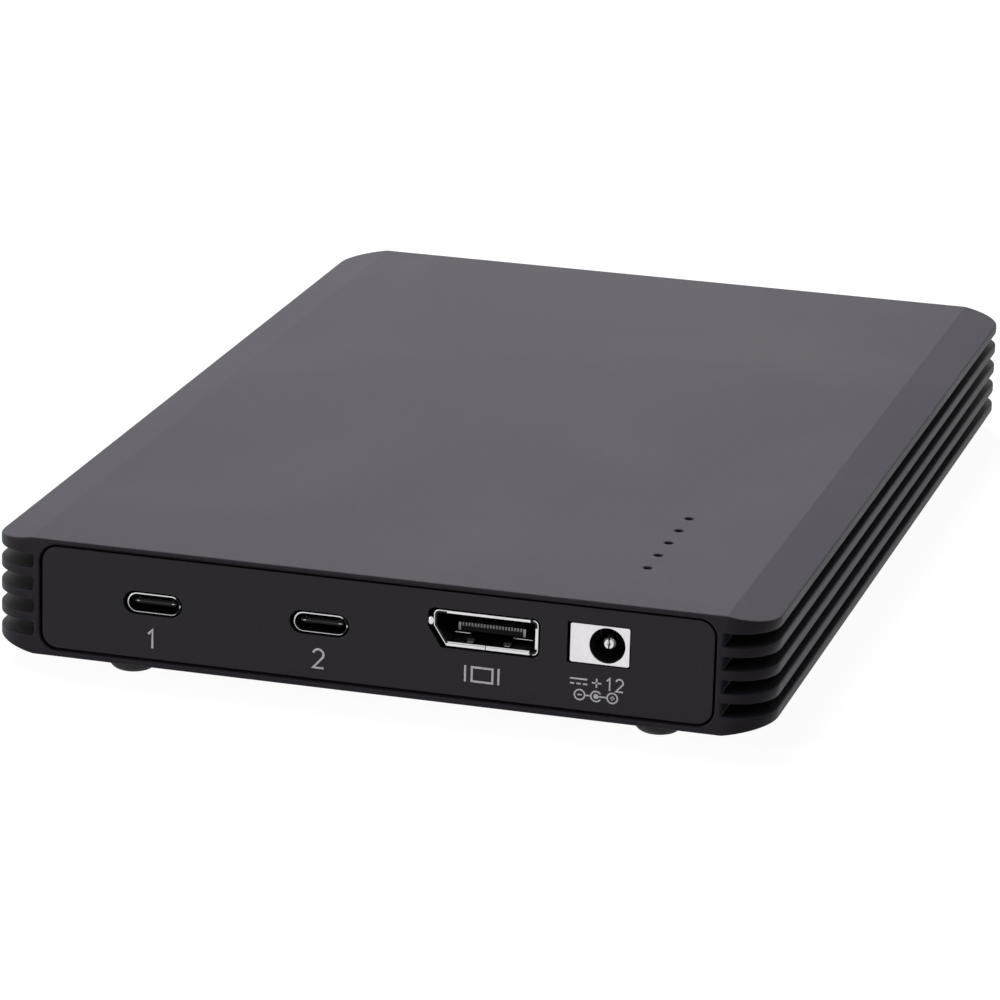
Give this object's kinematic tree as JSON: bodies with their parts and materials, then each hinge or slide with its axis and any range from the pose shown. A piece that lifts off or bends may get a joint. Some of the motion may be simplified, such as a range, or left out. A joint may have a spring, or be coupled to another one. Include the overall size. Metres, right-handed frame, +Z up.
{
  "type": "external solid-state drive enclosure",
  "caption": "Low rectangular finned metal enclosure for solid-state drives, with data, video and power sockets in its front panel and rubber feet.",
  "frame": {"origin": "on the ground under the middle of the box", "axes": "+X to the right seen from the socket side, +Y from the socket side to the rear, +Z up"},
  "size_m": [0.129, 0.196, 0.0222],
  "materials": {
    "anodised_aluminium": "fine bead-blasted dark grey anodising",
    "panel_black": "satin black moulded panel",
    "screw_black": "black oxide",
    "foot_rubber": "matt black rubber",
    "circuit_board": "green solder mask over glass cloth",
    "socket_steel": "bright nickel plate",
    "socket_plastic": "black moulded plastic",
    "contact_metal": "nickel plate",
    "jack_plate": "pale matt plate",
    "jack_metal": "bright nickel plate",
    "lamp_lens": "pale lens",
    "guide_clear": "smoked clear plastic",
    "chip_black": "moulded chip body",
    "thermal_pad": "soft grey pad",
    "bare_aluminium": "milled aluminium",
    "coil_ferrite": "pressed ferrite",
    "capacitor_can": "drawn can",
    "standoff_brass": "turned brass",
    "screw_steel": "plain steel"
  },
  "bodies": {
    "root": {"case_shell": "anodised_aluminium", "front_panel": "panel_black", "rear_panel": "panel_black", "rear_panel_screws": "screw_black", "foot_front_left": "foot_rubber", "foot_front_right": "foot_rubber", "foot_rear_left": "foot_rubber", "foot_rear_right": "foot_rubber", "main_board": "circuit_board", "data_socket_shell_left": "socket_steel", "data_socket_shell_right": "socket_steel", "data_socket_tongue_left": "socket_plastic", "data_socket_tongue_right": "socket_plastic", "data_socket_contacts": "contact_metal", "video_socket_shell": "socket_steel", "video_socket_insert": "socket_plastic", "video_socket_contacts": "contact_metal", "power_jack_body": "socket_plastic", "power_jack_face": "jack_plate", "power_jack_pin": "jack_metal", "power_jack_spring": "jack_metal", "status_lamps": "lamp_lens", "light_guide": "guide_clear", "controller_chip": "chip_black", "controller_pads": "thermal_pad", "controller_block": "bare_aluminium", "small_chips": "chip_black", "power_coils": "coil_ferrite", "capacitors": "capacitor_can", "drive_socket_1": "socket_plastic", "drive_socket_2": "socket_plastic", "drive_socket_3": "socket_plastic", "drive_socket_4": "socket_plastic", "drive_board_1": "circuit_board", "drive_board_2": "circuit_board", "drive_board_3": "circuit_board", "drive_board_4": "circuit_board", "drive_chips_1": "chip_black", "drive_chips_2": "chip_black", "drive_chips_3": "chip_black", "drive_chips_4": "chip_black", "drive_standoffs": "standoff_brass", "drive_screws": "screw_steel", "drive_pads": "thermal_pad", "heat_spreader": "bare_aluminium", "spreader_pad": "thermal_pad"}
  },
  "joints": []
}
